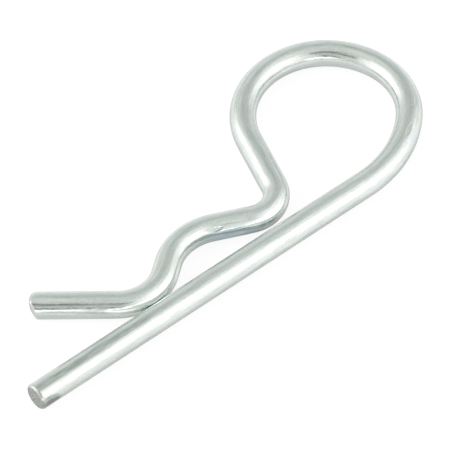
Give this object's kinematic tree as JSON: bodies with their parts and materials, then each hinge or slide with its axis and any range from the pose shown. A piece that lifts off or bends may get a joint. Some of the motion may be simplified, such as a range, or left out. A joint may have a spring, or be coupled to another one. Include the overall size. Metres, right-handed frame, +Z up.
{
  "type": "spring cotter pin",
  "caption": "Spring cotter pin (R-clip) bent from round wire: a straight leg for a cross hole, an eye to pull, a saddle that grips the shaft, and a flared end.",
  "frame": {"origin": "middle of the clip's outline, on the surface that it lies flat on", "axes": "+X along the straight leg, from its tip towards the eye; +Y from the straight leg towards the formed leg; +Z up, square to the plane of the wire"},
  "size_m": [0.0796, 0.03, 0.004],
  "materials": {
    "zinc_wire": "bright zinc plating over drawn spring steel wire, semi-gloss, with faint lengthwise draw lines and mottling"
  },
  "bodies": {
    "root": {"spring_clip": "zinc_wire"}
  },
  "joints": []
}
